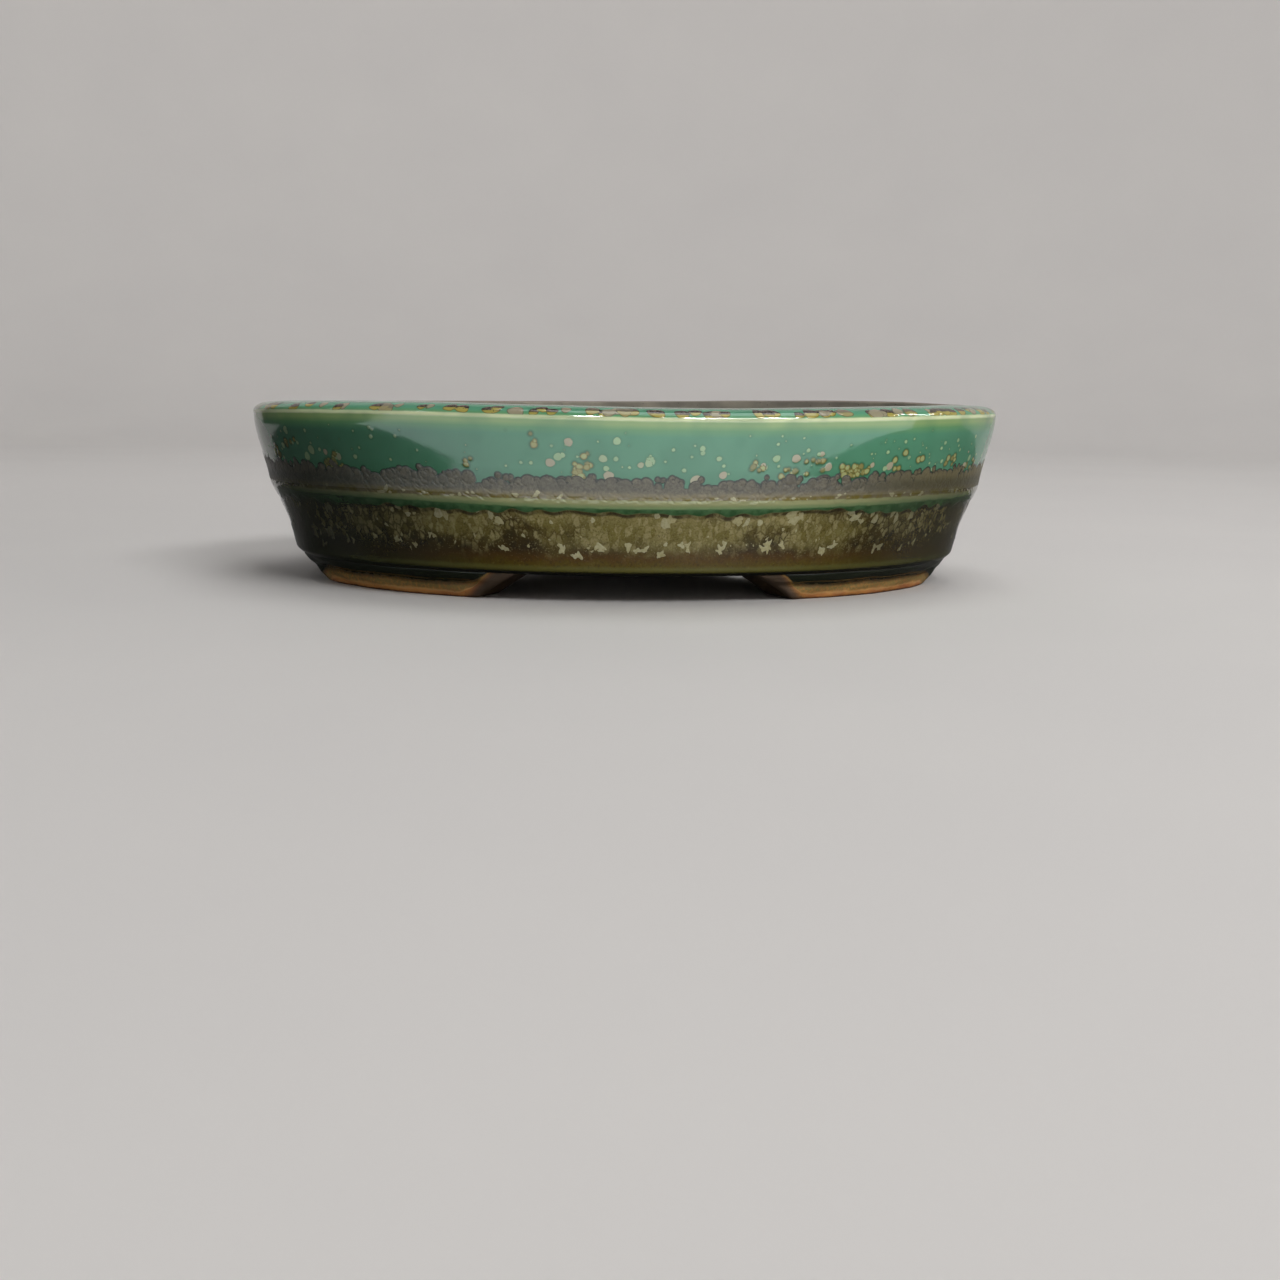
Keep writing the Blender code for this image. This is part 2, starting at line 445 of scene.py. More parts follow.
edge_height = band_edge()
dots = scatter_dots()
lobes = scatter_lobes(edge_height)
spots = scatter_spots()
# The green pool's lower edge: slow waves, small ripples, and here and there a drip.
POOL_EDGE = 22.4
pool_height = POOL_EDGE + 0.8 * ring_noise((4, 16), 10) + 0.5 * ring_noise((36, 110), 20)
pool_height -= 1.7 * np.maximum(ring_noise((9, 22), 10) - 0.6, 0)
flakes = scatter_flakes(pool_height)
wall_rows = slice(out_lip, out_low)
pool_run = np.interp(-pool_height, -height[wall_rows], run[wall_rows])
pool = pool_run[None, :] - run[:, None]

# ---------------------------------------------------------------- the body's shape

outside = ease(run, -9.0, -7.5)[:, None]
wave = 0.20 * waver((2, 6), (60, 200), 14) + 0.05 * waver((8, 22), (20, 60), 24)
wave += 0.006 * waver((30, 90), (4, 14), 40)
relief = 0.07 * ease(lobes.depth, 0.0, 0.5)
relief += 0.045 * ease(dots.depth, -0.1, 0.35)
relief += 0.06 * ease(spots.depth, -0.1, 0.5) * outside
relief += 0.05 * ease(flakes.depth, -0.05, 0.3)
in_hollow = ease(run, run_at(24.0), run_at(23.2))[:, None]
relief += 0.10 * ease(pool, -0.2, 0.5) * in_hollow
# The rim is slightly warped: (turns round the pot, height, phase).
RIM_WARP = ((0, -0.28, 0.0), (1, 0.76, -0.40), (2, 0.39, 1.29), (3, 0.13, -1.60), (4, 0.23, -2.49))
lift = sum(rise * np.cos(turns * theta - phase) for turns, rise, phase in RIM_WARP)

cos, sin = np.cos(theta)[None, :], np.sin(theta)[None, :]


def swept(inset, height):
    """Places on the oval for arrays of insets and heights."""
    x = (HALF_LENGTH - inset) * cos
    y = (HALF_DEPTH - inset) * sin
    return np.stack([x, y, height + 0 * x], axis=-1)


def grid_normals(places):
    """Outward normals of a grid of rows by stations that closes round the pot."""
    down = np.gradient(places, axis=0)
    along = np.roll(places, -1, axis=1) - np.roll(places, 1, axis=1)
    normals = np.cross(down, along)
    return normals / np.linalg.norm(normals, axis=-1, keepdims=True)


raised = height[:, None] + lift[None, :] * ease(height, 14.0, LIP_LINE)[:, None]
ideal = swept(inset[:, None], raised)
normals = grid_normals(ideal)
sunk = (wave + relief)[..., None] * normals
sunk[..., 2] *= ease(height, 7.6, 9.5)[:, None]
body = ideal + sunk
normals = grid_normals(body)

# ---------------------------------------------------------------- meshes


def add_mesh(name, places, faces, corner_normals=None, triangles=None):
    """A shaded mesh object from arrays: places in millimetres, faces as rows of corners."""
    triangles = np.zeros((0, 3), int) if triangles is None else triangles
    corners = np.concatenate([faces.ravel(), triangles.ravel()]).astype(np.int32)
    starts = [np.arange(len(faces)) * 4, faces.size + np.arange(len(triangles)) * 3]
    mesh = bpy.data.meshes.new(name)
    mesh.vertices.add(len(places))
    mesh.vertices.foreach_set("co", (places * MM).astype(np.float32).ravel())
    mesh.loops.add(len(corners))
    mesh.loops.foreach_set("vertex_index", corners)
    mesh.polygons.add(len(faces) + len(triangles))
    mesh.polygons.foreach_set("loop_start", np.concatenate(starts).astype(np.int32))
    mesh.update(calc_edges=True)
    mesh.shade_smooth()
    if corner_normals is not None:
        mesh.normals_split_custom_set(corner_normals.reshape(-1, 3).tolist())
    made = bpy.data.objects.new(name, mesh)
    bpy.context.scene.collection.objects.link(made)
    return made


def add_fact(made, name, values):
    """Keeps three numbers for each point of a mesh, for its material to read."""
    attribute = made.data.attributes.new(name, "FLOAT_VECTOR", "POINT")
    attribute.data.foreach_set("vector", values.astype(np.float32).ravel())


def field(*parts):
    """Three facts side by side, each spread over the whole grid."""
    return np.stack([np.broadcast_to(part, (ROWS, STATIONS)) for part in parts], axis=-1)


FACTS = {
    "zones": field(run[:, None], lobes.depth, pool),
    "lobes": field(*lobes.facts, 0.0),
    "dots": field(dots.depth, *dots.facts),
    "spots": field(spots.depth, *spots.facts),
    "flakes": field(flakes.depth, flakes.facts[0], 0.0),
}


def band(name, *parts):
    """A closed ring of clay from stretches of the body's rows. Its joins are flat and hidden."""
    rows = np.concatenate([np.arange(start, end + 1) for start, end in parts])
    shown = np.ones(len(rows), bool)
    shown[np.cumsum([end + 1 - start for start, end in parts]) - 1] = False
    ring = np.arange(len(rows) * STATIONS).reshape(len(rows), STATIONS)
    below, beside = np.roll(ring, -1, axis=0), np.roll(ring, -1, axis=1)
    faces = np.stack([ring, below, np.roll(below, -1, axis=1), beside], axis=-1).reshape(-1, 4)
    places = body[rows].reshape(-1, 3)
    corner_normals = normals[rows].reshape(-1, 3)[faces]
    hidden = np.repeat(~shown, STATIONS)
    flat = faces[hidden]
    corners = places[flat]
    across = np.cross(corners[:, 2] - corners[:, 0], corners[:, 3] - corners[:, 1])
    across /= np.linalg.norm(across, axis=1, keepdims=True)
    corner_normals[hidden] = across[:, None, :]
    made = add_mesh(name, places, faces, corner_normals)
    for fact, values in FACTS.items():
        add_fact(made, fact, values[rows].reshape(-1, 3))
    return made


rim = band("rim_lip_glazed", (in_lip, out_lip))
upper = band("upper_wall_glazed", (out_lip, out_waist), (in_waist, in_lip))
waist = band("waist_moulding_glazed", (out_waist, out_low), (in_low, in_waist))
lower = band("lower_wall_glazed", (out_low, out_end), (in_floor, in_low))

# ---------------------------------------------------------------- feet and floor

FOOT_ANGLES = (math.radians(18.0), math.radians(64.0))
FOOT_END_SLOPE = math.radians(6.0)
FOOT_STATIONS = 220
FOOT_STEP = 0.4
FOOT_TOP = foot_high.z
NECK_INSET = 12.0
SOLE_INSET = 16.4
FOOT_CORNERS = [
    (20.0, FOOT_TOP + 0.6, 0),
    (12.3, FOOT_TOP + 0.6, 0),
    (12.35, 6.3, 0.5),
    (13.4, 4.9, 2.0),
    (15.0, 4.1, 0.7),
    (SOLE_INSET, 0.0, 1.1),
    (27.5, 0.0, 0.9),
    (29.0, FOOT_TOP + 0.6, 0),
]
SOLE_MIDDLE = 22.0
SOLE_HALF = 5.5
END_ROUNDING = 3.2
# The feet lie about this far from the pot's middle, so an angle times it is a length.
FOOT_RADIUS = 85.0
GLAZE_LINE = 3.9
OUTER_FACE_END = 17.0
BARE = -4.0


def closed_path(corners, spacing):
    """Evenly spaced points of a closed outline, from its first corner round to it again."""
    path = rounded(corners + corners[:1])
    return resampled(path, spacing)[:-1]


def add_foot(name, side, front, node, curls):
    """One bracket foot. Its neck is hollowed, and fades out where the clay curls up at each end."""
    section = closed_path(FOOT_CORNERS, FOOT_STEP)
    share = np.linspace(0, 1, FOOT_STATIONS)[:, None]
    inset, height = section[None, :, 0], section[None, :, 1]
    level = height / FOOT_TOP
    span = FOOT_ANGLES[1] - FOOT_ANGLES[0]
    outer_end = ease(share, 0.14, 0.0)
    inner_end = ease(share, 0.86, 0.99) * curls
    curl = np.maximum(0.75 * outer_end, inner_end)
    flush = NECK_INSET + (SOLE_INSET - NECK_INSET) * np.clip(1 - level, 0, 1) ** 1.2
    neck = (inset > 11.0) & (inset < 16.6) & (height > 0.3)
    inset = np.where(neck, inset + (flush - inset) * curl * ease(height, 0.3, 2.5), inset)
    reach = END_ROUNDING / (span * FOOT_RADIUS)
    from_end = np.clip(np.minimum(share, 1 - share) / reach, 0, 1)
    shrink = END_ROUNDING * (1 - np.sqrt(1 - (1 - from_end) ** 2)) * np.clip(1 - level, 0, 1)
    inset = inset + np.clip((SOLE_MIDDLE - inset) / SOLE_HALF, -1, 1) * shrink
    height = height + shrink * (1 - level)
    widening = FOOT_END_SLOPE * level
    angle = FOOT_ANGLES[0] - widening + (span + 2 * widening) * share
    phases = rng.uniform(0, 2 * np.pi, 6)
    lump = sum(
        np.sin((k + 2) * 4.1 * share + 0.35 * (k + 1) * height + phases[k]) for k in range(6)
    )
    inset = inset + 0.05 * lump
    x = side * (HALF_LENGTH - inset) * np.cos(angle)
    y = front * (HALF_DEPTH - inset) * np.sin(angle)
    places = np.stack([x, y, height + 0 * x], axis=-1)
    count = places.shape[1]
    ring = np.arange(FOOT_STATIONS * count).reshape(FOOT_STATIONS, count)
    beside = np.roll(ring, -1, axis=1)
    faces = np.stack([ring[:-1], beside[:-1], beside[1:], ring[1:]], axis=-1).reshape(-1, 4)
    ends = []
    points = places.reshape(-1, 3)
    for row, flip in ((ring[0], False), (ring[-1], True)):
        centre = len(points)
        points = np.concatenate([points, places[row[0] // count].mean(axis=0)[None]])
        after = np.roll(row, -1)
        fan = np.stack([np.full(count, centre), after, row], axis=-1)
        ends.append(fan[:, ::-1] if flip else fan)
    if side * front > 0:
        faces = faces[:, ::-1]
        ends = [fan[:, ::-1] for fan in ends]
    made = add_mesh(name, points, faces, triangles=np.concatenate(ends))
    line = GLAZE_LINE + 4.0 * inner_end - 2.4 * ease(share, 0.16, 0.0) + 0.05 * lump
    glazed = np.concatenate([(height - line + 0 * x).ravel(), [BARE, BARE]])
    facing = np.where(section[None, :, 0] + 0 * x < OUTER_FACE_END, 1.0, 0.0)
    facing = facing * (1 - 0.8 * ease(share, 0.88, 0.97))
    outward = np.concatenate([facing.ravel(), [0.0, 0.0]])
    above = np.concatenate([height.ravel(), [FOOT_TOP / 2, FOOT_TOP / 2]])
    add_fact(made, "glazed", np.stack([glazed, outward, above], axis=-1))
    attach(made, "root")
    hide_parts(node)
    return made


feet = [
    add_foot(f"{node}_clay", side, front, node, curls)
    for node, side, front, curls in (
        ("foot_front_left", -1, -1, 1.0),
        ("foot_front_right", 1, -1, 0.35),
        ("foot_back_left", -1, 1, 0.6),
        ("foot_back_right", 1, 1, 0.9),
    )
]


SLAB_VOXEL = 0.55


def add_floor():
    """The floor slab, remeshed fine so that its edges and the holes' edges are soft."""
    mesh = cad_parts["floor_slab"].data.copy()
    made = bpy.data.objects.new("floor_slab_clay", mesh)
    bpy.context.scene.collection.objects.link(made)
    mesh.materials.clear()
    remesh = made.modifiers.new("remesh", "REMESH")
    remesh.mode = "VOXEL"
    remesh.voxel_size = SLAB_VOXEL * MM
    remesh.use_smooth_shade = True
    smooth = made.modifiers.new("smooth", "SMOOTH")
    smooth.factor = 0.5
    smooth.iterations = 3
    seen = made.evaluated_get(bpy.context.evaluated_depsgraph_get())
    made.data = bpy.data.meshes.new_from_object(seen)
    made.modifiers.clear()
    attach(made, "root")
    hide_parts("floor_slab")
    return made


slab = add_floor()

# ---------------------------------------------------------------- materials


def srgb(red, green, blue):
    """Linear colour from an everyday 0-255 one."""
    linear = []
    for part in (red, green, blue):
        part /= 255
        linear.append(part / 12.92 if part <= 0.04045 else ((part + 0.055) / 1.055) ** 2.4)
    return (*linear, 1.0)


class Nodes:
    """A material's node tree, with short ways to add what this pot needs."""

    def __init__(self, name):
        self.material = bpy.data.materials.new(name)
        self.material.use_nodes = True
        self.tree = self.material.node_tree
        self.shader = self.tree.nodes["Principled BSDF"]

    def node(self, kind, inputs=None, **settings):
        made = self.tree.nodes.new("ShaderNode" + kind)
        for key, value in settings.items():
            setattr(made, key, value)
        for key, value in (inputs or {}).items():
            self.plug(made.inputs[key], value)
        return made

    def plug(self, socket, value):
        if isinstance(value, bpy.types.NodeSocket):
            self.tree.links.new(value, socket)
        else:
            socket.default_value = value

    def set(self, name, value):
        """Sets or links an input of the material's shader."""
        self.plug(self.shader.inputs[name], value)

    def millimetres(self):
        """The place on the object, in millimetres."""
        coordinates = self.node("TexCoord").outputs["Object"]
        mapping = self.node("Mapping", {"Vector": coordinates})
        mapping.inputs["Scale"].default_value = (1 / MM,) * 3
        return mapping.outputs["Vector"]

    def stretched(self, place, scale):
        mapping = self.node("Mapping", {"Vector": place})
        mapping.inputs["Scale"].default_value = scale
        return mapping.outputs["Vector"]

    def facts(self, name):
        """The three numbers that add_fact kept under this name."""
        vector = self.node("Attribute", attribute_name=name).outputs["Vector"]
        return self.node("SeparateXYZ", {0: vector}).outputs

    def math(self, operation, a, b=0.0, c=0.0):
        return self.node("Math", {0: a, 1: b, 2: c}, operation=operation).outputs[0]

    def times(self, a, b):
        return self.math("MULTIPLY", a, b)

    def plus(self, a, b):
        return self.math("ADD", a, b)

    def step(self, value, start, end, low=0.0, high=1.0):
        """low up to start, high from end, eased in between."""
        inputs = {"Value": value, "From Min": start, "From Max": end, "To Min": low, "To Max": high}
        return self.node("MapRange", inputs, interpolation_type="SMOOTHSTEP").outputs["Result"]

    def mix(self, share, a, b):
        """Colour a where share is 0, b where it is 1."""
        made = self.node("Mix", data_type="RGBA", clamp_factor=True)
        self.plug(made.inputs[0], share)
        self.plug(made.inputs[6], a)
        self.plug(made.inputs[7], b)
        return made.outputs[2]

    def noise(self, place, per_mm, detail=2.0, roughness=0.5):
        inputs = {"Vector": place, "Scale": per_mm, "Detail": detail, "Roughness": roughness}
        return self.node("TexNoise", inputs).outputs["Fac"]

    def cells(self, place, per_mm, feature="F1"):
        inputs = {"Vector": place, "Scale": per_mm, "Randomness": 1.0}
        return self.node("TexVoronoi", inputs, feature=feature).outputs

    def ramp(self, value, stops):
        """A colour ramp over stops of (position, colour), where positions are in value's units."""
        low, high = stops[0][0], stops[-1][0]
        inputs = {"Value": value, "From Min": low, "From Max": high}
        share = self.node("MapRange", inputs).outputs["Result"]
        made = self.node("ValToRGB", {"Fac": share})
        band = made.color_ramp
        band.elements[0].color = stops[0][1]
        band.elements[1].color = stops[-1][1]
        for position, colour in stops[1:-1]:
            band.elements.new((position - low) / (high - low)).color = colour
        return made.outputs["Color"]

    def bump(self, height_mm):
        made = self.node("Bump", {"Height": height_mm})
        made.inputs["Distance"].default_value = MM
        self.set("Normal", made.outputs["Normal"])


TURQUOISE = srgb(90, 152, 120)
TURQUOISE_DEEP = srgb(68, 130, 98)
# Thin pale glaze on the lip's edge, partly a painted highlight.
PALE_EDGE_AND_HIGHLIGHT = srgb(226, 236, 190)
PALE_GREEN = srgb(146, 176, 116)
GREEN_FADE = srgb(106, 158, 108)
BAND_GREY = srgb(93, 88, 73)
BAND_LIGHT = srgb(122, 114, 94)
BAND_DARK = srgb(78, 72, 62)
OUTLINE = srgb(34, 30, 24)
TAN = srgb(134, 124, 96)
GOLD = srgb(128, 116, 58)
SAGE = srgb(168, 172, 124)
SAGE_GREEN = srgb(138, 162, 112)
POOL = srgb(82, 122, 78)
POOL_DARK = srgb(54, 94, 54)
KHAKI = srgb(138, 128, 66)
KHAKI_LIGHT = srgb(176, 166, 116)
OLIVE = srgb(126, 116, 60)
BROWN = srgb(64, 49, 16)
BROWN_DARK = srgb(44, 34, 18)
AMBER = srgb(92, 76, 8)
AMBER_BROWN = srgb(88, 60, 12)
TURN_LINE = srgb(108, 112, 56)
FOOT_LINE = srgb(24, 22, 12)
CREAM = srgb(192, 188, 150)
DOT_CREAM = srgb(168, 200, 154)
DOT_PINK = srgb(184, 176, 150)
DOT_RING = srgb(176, 186, 128)
DOT_OCHRE = srgb(138, 124, 62)
DOT_GOLD = srgb(168, 154, 88)
DOT_HALO = srgb(52, 88, 54)
SPOT_CAP = srgb(56, 50, 40)
SPOT_GREY = srgb(150, 144, 118)
SPOT_PINK = srgb(140, 124, 112)
SPOT_OCHRE = srgb(164, 154, 78)
# Painted shade for the left end; brown glaze with painted shade for the right end.
LEFT_END_SHADE = srgb(12, 26, 14)
RIGHT_END_BROWN_AND_SHADE = srgb(36, 36, 10)
CLAY_DARK = srgb(108, 103, 90)
CLAY_GREY = srgb(138, 132, 116)


def bare_clay(n, place, dark, light):
    """Colour and height of unglazed clay: slow clouds, fine grit and a few dark specks."""
    clouds = n.noise(place, 0.12, 3.0)
    grit = n.noise(place, 2.4, 4.0, 0.65)
    colour = n.mix(n.step(clouds, 0.35, 0.7), dark, light)
    colour = n.mix(n.step(grit, 0.62, 0.75, 0.0, 0.35), colour, light)
    speck = n.cells(place, 0.9)
    few = n.step(speck["Color"], 0.6, 0.7)
    is_speck = n.times(n.step(speck["Distance"], 0.2, 0.12), few)
    colour = n.mix(n.times(is_speck, 0.6), colour, OUTLINE)
    return colour, n.times(grit, 0.10)


def glaze(name):
    """The glazed body. Its zones run down the outline, and the same recipe serves every band.

    run_here is how far down the outline a point is, and run_at(height) is where a zone lies.
    """
    n = Nodes(name)
    place = n.millimetres()
    run_here, lobe, pool_depth = n.facts("zones")
    lobe_tone, lobe_up, _ = n.facts("lobes")
    dot, dot_tone, dot_ringed = n.facts("dots")
    spot, spot_tone, spot_out = n.facts("spots")
    flake, flake_tone, _ = n.facts("flakes")

    across = n.node("SeparateXYZ", {0: place}).outputs[0]
    slow = n.noise(place, 0.06, 2.0)
    middling = n.noise(place, 0.35, 3.0)
    fine = n.noise(place, 1.6, 3.0)
    drift = n.math("MULTIPLY_ADD", slow, 1.4, -0.7)
    wobble = n.math("MULTIPLY_ADD", middling, 0.7, -0.35)
    shifted = n.plus(run_here, wobble)

    sag = n.times(drift, n.step(run_here, 1.0, 3.5))
    zones = n.ramp(
        n.plus(n.math("MULTIPLY_ADD", wobble, 0.25, run_here), sag),
        [
            (-9.0, TURQUOISE_DEEP),
            (-1.5, TURQUOISE),
            (-0.6, GREEN_FADE),
            # The lip's widest line: thin pale glaze on the edge, partly a painted highlight.
            (-0.25, PALE_EDGE_AND_HIGHLIGHT),
            (0.2, PALE_EDGE_AND_HIGHLIGHT),
            (0.6, PALE_GREEN),
            (1.3, PALE_GREEN),
            (2.4, GREEN_FADE),
            (4.0, TURQUOISE),
            (run_at(33), TURQUOISE),
            (run_at(29), TURQUOISE_DEEP),
        ],
    )
    zones = n.mix(n.step(n.noise(place, 0.09, 2.0), 0.4, 0.7, 0.0, 0.4), zones, TURQUOISE_DEEP)

    # The crystalline band, its lobes and their dark outlines.
    grain = n.noise(place, 1.3, 5.0, 0.62)
    band_colour = n.mix(n.step(lobe_tone, 0.0, 1.0, 0.15, 0.65), BAND_GREY, BAND_LIGHT)
    pits = n.cells(place, 0.95, "DISTANCE_TO_EDGE")["Distance"]
    band_colour = n.mix(n.step(pits, 0.10, 0.02, 0.0, 0.4), band_colour, BAND_DARK)
    band_colour = n.mix(n.step(grain, 0.42, 0.66), band_colour, BAND_DARK)
    band_colour = n.mix(n.step(across, 40.0, 90.0, 0.0, 0.5), band_colour, OLIVE)
    low_band = n.step(shifted, run_at(27.9), run_at(26.5))
    band_colour = n.mix(low_band, band_colour, n.mix(n.step(grain, 0.4, 0.7), TAN, BAND_LIGHT))
    near_edge = n.step(lobe, 0.34, 0.10)
    upper_side = n.step(lobe_up, -0.7, 0.4)
    outline_share = n.times(near_edge, upper_side)
    fading = n.step(run_here, run_at(29.6), run_at(27.8), 0.95, 0.3)
    outline_share = n.times(outline_share, fading)
    band_colour = n.mix(outline_share, band_colour, OUTLINE)
    in_band = n.step(lobe, -0.06, 0.06)
    in_band = n.math("MAXIMUM", in_band, n.step(shifted, run_at(27.8), run_at(27.2)))
    colour = n.mix(n.step(lobe, -0.32, -0.05, 0.0, 0.85), zones, OUTLINE)
    colour = n.mix(in_band, colour, band_colour)

    # The waist: gold and cream scraps, then the pale smooth edge.
    side = n.step(n.math("ABSOLUTE", n.math("SUBTRACT", across, 8.0)), 20.0, 80.0)
    drawn = n.math("MULTIPLY_ADD", side, 0.75, shifted)
    waist_mix = n.mix(n.step(middling, 0.4, 0.6), GOLD, TAN)
    colour = n.mix(n.step(drawn, run_at(26.8), run_at(25.9)), colour, waist_mix)
    sage = n.mix(n.step(drawn, run_at(24.8), run_at(23.6)), SAGE, SAGE_GREEN)
    colour = n.mix(n.step(shifted, run_at(25.75), run_at(25.3)), colour, sage)

    is_flake = n.step(flake, -0.03, 0.07)
    scrap_share = n.times(is_flake, n.step(run_here, run_at(25.2), run_at(25.6)))
    colour = n.mix(n.times(scrap_share, 0.85), colour, CREAM)

    # Under the waist: a green pool, then dense flakes on brown, and olive and amber lower down.
    pool_colour = n.mix(n.step(middling, 0.35, 0.65), POOL_DARK, POOL)
    colour = n.mix(n.step(drawn, run_at(23.8), run_at(23.3)), colour, pool_colour)
    turned = n.node("TexNoise", {"Vector": place, "Scale": 0.7}).outputs["Color"]
    warped = n.node("VectorMath", {0: place, 1: turned}).outputs[0]
    squeezed = n.stretched(warped, (0.74, 0.74, 0.38))
    small = n.cells(squeezed, 1.0)
    small_edge = n.cells(squeezed, 1.0, "DISTANCE_TO_EDGE")
    cover = n.noise(n.stretched(place, (1.0, 1.0, 1.6)), 0.05, 2.0)
    # Towards both ends the flakes thin out and the glaze darkens: partly its own pattern, partly
    # painted shade.
    cover = n.plus(cover, n.math("MULTIPLY_ADD", side, -0.3, 0.12))
    fall = n.step(run_here, run_at(17.5), run_at(12.0))
    bar = n.plus(n.math("MULTIPLY_ADD", cover, -1.1, 0.75), n.times(fall, 0.5))
    is_small = n.step(n.math("SUBTRACT", small["Color"], bar), -0.2, 0.25)
    gap = n.step(cover, 0.35, 0.6, 0.05, 0.45)
    is_small = n.times(is_small, n.step(small_edge["Distance"], 0.0, 0.2, gap, 1.0))
    small_colour = n.mix(n.step(small["Color"], 0.3, 0.72), OLIVE, KHAKI_LIGHT)
    small_colour = n.mix(n.step(fine, 0.45, 0.65, 0.0, 0.5), small_colour, KHAKI)
    paler = n.step(shifted, run_at(21.5), run_at(18.5), 0.45, 0.0)
    small_colour = n.mix(paler, small_colour, KHAKI_LIGHT)
    base = n.mix(n.step(middling, 0.4, 0.65), BROWN, BROWN_DARK)
    olive = n.mix(n.step(cover, 0.4, 0.6, 0.1, 0.9), base, OLIVE)
    olive = n.mix(fall, olive, n.mix(n.step(cover, 0.5, 0.7, 0.0, 0.5), base, OLIVE))
    small_share = n.times(is_small, n.step(fall, 0.0, 1.0, 0.75, 0.3))
    flaked = n.mix(small_share, olive, small_colour)
    stirred = n.math("MULTIPLY_ADD", drift, 1.3, n.math("MULTIPLY_ADD", wobble, 4.5, shifted))
    pepper = n.noise(place, 2.2, 2.0)
    flaked = n.mix(n.step(pepper, 0.56, 0.70, 0.0, 0.55), flaked, BROWN)
    flaked = n.mix(n.step(pepper, 0.42, 0.30, 0.0, 0.4), flaked, KHAKI_LIGHT)
    amber = n.mix(n.step(stirred, run_at(11.6), run_at(9.4)), AMBER_BROWN, AMBER)
    amber = n.mix(n.step(fine, 0.36, 0.28, 0.0, 0.4), amber, GOLD)
    # Darker amber towards both ends, partly the glaze's own colour and partly painted shade.
    amber = n.mix(n.times(side, 0.65), amber, BROWN_DARK)
    amber = n.mix(n.step(fine, 0.5, 0.72, 0.0, 0.7), amber, BROWN)
    flaked = n.mix(n.step(stirred, run_at(13.6), run_at(10.6), 0.0, 0.9), flaked, amber)
    flaked = n.mix(n.step(shifted, run_at(9.6), run_at(8.6), 0.0, 0.5), flaked, TURN_LINE)
    flaked = n.mix(n.step(run_here, run_at(8.1), run_at(7.4)), flaked, FOOT_LINE)
    flake_colour = n.mix(flake_tone, KHAKI_LIGHT, CREAM)
    flake_colour = n.mix(n.step(fine, 0.4, 0.7, 0.0, 0.4), flake_colour, KHAKI)
    flake_share = n.times(is_flake, n.step(cover, 0.25, 0.45, 0.6, 0.96))
    flaked = n.mix(flake_share, flaked, flake_colour)
    under = n.step(pool_depth, 0.2, -0.2)
    rim_of_pool = n.step(n.math("ABSOLUTE", n.plus(pool_depth, 0.5)), 0.85, 0.2)
    rim_of_pool = n.times(rim_of_pool, n.step(is_flake, 0.0, 1.0, 0.85, 0.25))
    rim_of_pool = n.times(rim_of_pool, n.step(middling, 0.34, 0.58, 0.35, 1.0))
    flaked = n.mix(rim_of_pool, flaked, BROWN_DARK)
    below = n.times(under, n.step(run_here, run_at(24.0), run_at(23.6)))
    colour = n.mix(below, colour, flaked)

    # Crystals in the turquoise: pale discs, and ringed ones with an ochre edge in a dark halo.
    halo = n.times(n.step(dot, -0.6, 0.0), n.step(dot_ringed, 0.0, 1.0, 0.15, 0.6))
    colour = n.mix(n.times(halo, n.step(lobe, 0.05, -0.05)), colour, DOT_HALO)
    pale_dot = n.mix(n.step(dot_tone, 0.55, 0.7), DOT_CREAM, DOT_PINK)
    middle = n.mix(n.step(dot_tone, 0.2, 0.7), DOT_GOLD, DOT_RING)
    ringed = n.mix(n.step(dot, 0.1, 0.45), DOT_OCHRE, middle)
    dot_colour = n.mix(dot_ringed, pale_dot, ringed)
    dot_colour = n.mix(n.step(dot, 0.18, 0.0, 0.0, 0.7), dot_colour, DOT_HALO)
    dot_share = n.times(n.step(dot, -0.05, 0.1), n.step(lobe, 0.05, -0.05))
    dot_share = n.times(dot_share, n.step(dot_tone, 0.0, 0.5, 0.6, 0.95))
    colour = n.mix(dot_share, colour, dot_colour)

    # Spots on the rim's top.
    cap = n.mix(n.step(spot_tone, 0.5, 0.75), SPOT_CAP, SPOT_GREY)
    cap = n.mix(n.step(fine, 0.4, 0.7, 0.0, 0.5), cap, SPOT_PINK)
    tail = n.mix(n.step(spot_tone, 0.5, 0.75), SPOT_OCHRE, SPOT_GREY)
    spot_colour = n.mix(n.step(n.plus(spot_out, wobble), 0.05, 0.5), cap, tail)
    spot_colour = n.mix(n.step(spot, 0.3, 0.05, 0.0, 0.65), spot_colour, OUTLINE)
    on_top = n.step(run_here, -0.25, -0.6)
    colour = n.mix(n.times(n.step(spot, -0.05, 0.1), on_top), colour, spot_colour)
    inner_line = n.step(shifted, -6.9, -7.6)
    colour = n.mix(inner_line, colour, SPOT_PINK)

    # Painted shade darkens the glaze towards the left end; at the right end it is browner, partly
    # its own colour and partly painted shade.
    left_shade = n.times(n.step(across, -20.0, -82.0), n.step(run_here, 0.5, 5.0, 0.0, 0.55))
    left_shade = n.times(left_shade, n.step(run_here, run_at(31.5), run_at(28.0), 1.0, 1.45))
    colour = n.mix(left_shade, colour, LEFT_END_SHADE)
    low_down = n.step(run_here, run_at(30.5), run_at(28.5))
    right_brown_and_shade = n.times(n.step(across, 30.0, 84.0, 0.0, 0.62), low_down)
    colour = n.mix(right_brown_and_shade, colour, RIGHT_END_BROWN_AND_SHADE)

